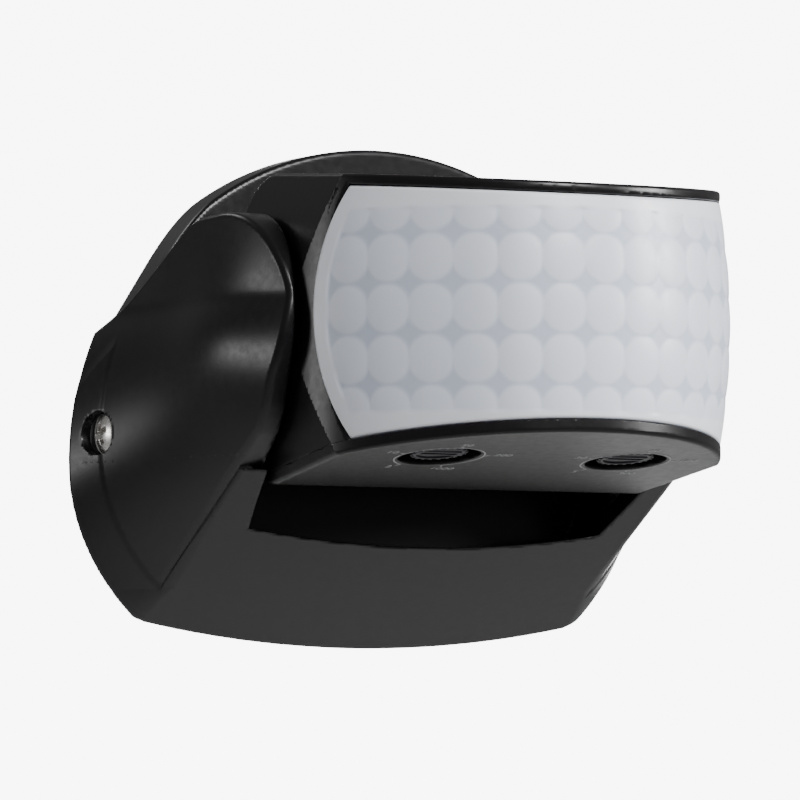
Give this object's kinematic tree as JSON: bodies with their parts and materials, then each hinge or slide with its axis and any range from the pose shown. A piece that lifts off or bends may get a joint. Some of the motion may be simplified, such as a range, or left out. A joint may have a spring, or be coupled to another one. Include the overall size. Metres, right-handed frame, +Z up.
{
  "type": "motion sensor",
  "caption": "Wall-mounted infrared motion sensor: round base with two arms that carry a tilting head with a wide milky lens and adjusting dials underneath.",
  "frame": {"origin": "centre of the round base, on the wall", "axes": "+Y into the wall, -Y out into the room, +Z up, +X to the right as seen from the room"},
  "size_m": [0.0848, 0.0683, 0.0671],
  "materials": {
    "black_plastic": "satin moulded polycarbonate, fine even grain",
    "dark_plastic": "matt moulded plastic",
    "seal_rubber": "soft closed rubber",
    "white_plastic": "off-white moulded plastic",
    "brass": "machined brass",
    "zinc_steel": "bright zinc plated steel",
    "lead_sleeve": "PVC insulated lead",
    "lens_plastic": "milky translucent polyethylene with moulded lenslets",
    "board_green": "glass-epoxy board with solder mask",
    "capacitor_yellow": "epoxy filled box",
    "capacitor_sleeve": "heat-shrunk sleeve",
    "varistor_blue": "dipped epoxy",
    "pot_blue": "moulded body",
    "can_metal": "nickel plated can",
    "ir_filter": "silicon filter, nearly black",
    "led_red": "tinted diffusing epoxy",
    "dial_plastic": "matt moulded plastic"
  },
  "bodies": {
    "bracket": {"bracket_housing": "black_plastic", "base_plate": "dark_plastic", "wall_seal": "seal_rubber", "cable_grommet": "seal_rubber", "terminal_block": "white_plastic", "terminal_clamps": "brass", "terminal_screws": "zinc_steel", "cover_screws": "zinc_steel", "arm_cover_right": "black_plastic", "arm_cover_left": "black_plastic", "arm_cover_screws": "zinc_steel", "base_leads": "lead_sleeve"},
    "head": {"head_shell": "black_plastic", "head_base": "black_plastic", "head_seal": "seal_rubber", "fresnel_lens": "lens_plastic", "lens_frame": "dark_plastic", "friction_washer_right": "dark_plastic", "friction_washer_left": "dark_plastic", "pivot_clip_right": "zinc_steel", "pivot_clip_left": "zinc_steel", "power_board": "board_green", "relay": "dark_plastic", "film_capacitor": "capacitor_yellow", "electrolytic_capacitor": "capacitor_sleeve", "varistor": "varistor_blue", "lux_pot": "pot_blue", "time_pot": "pot_blue", "sensor_board": "board_green", "pyro_sensor": "can_metal", "pyro_window": "ir_filter", "photocell": "pot_blue", "indicator_led": "led_red", "lead_connector": "white_plastic", "head_leads": "lead_sleeve", "board_screws": "zinc_steel", "head_screws": "zinc_steel"},
    "lux_adjuster": {"lux_dial": "dial_plastic"},
    "time_adjuster": {"time_dial": "dial_plastic"}
  },
  "joints": [
    {"name": "head_tilt", "type": "hinge", "parent": "bracket", "child": "head", "pos_m": [0, -0.03, 0.0173], "axis": [1, 0, 0], "range_deg": [-20, 25]},
    {"name": "lux_dial_turn", "type": "hinge", "parent": "head", "child": "lux_adjuster", "pos_m": [-0.0137, -0.0492, -0.00066], "axis": [0, -0.1478, -0.989], "range_deg": [-135, 135]},
    {"name": "time_dial_turn", "type": "hinge", "parent": "head", "child": "time_adjuster", "pos_m": [0.0137, -0.0492, -0.00066], "axis": [0, -0.1478, -0.989], "range_deg": [-135, 135]}
  ]
}
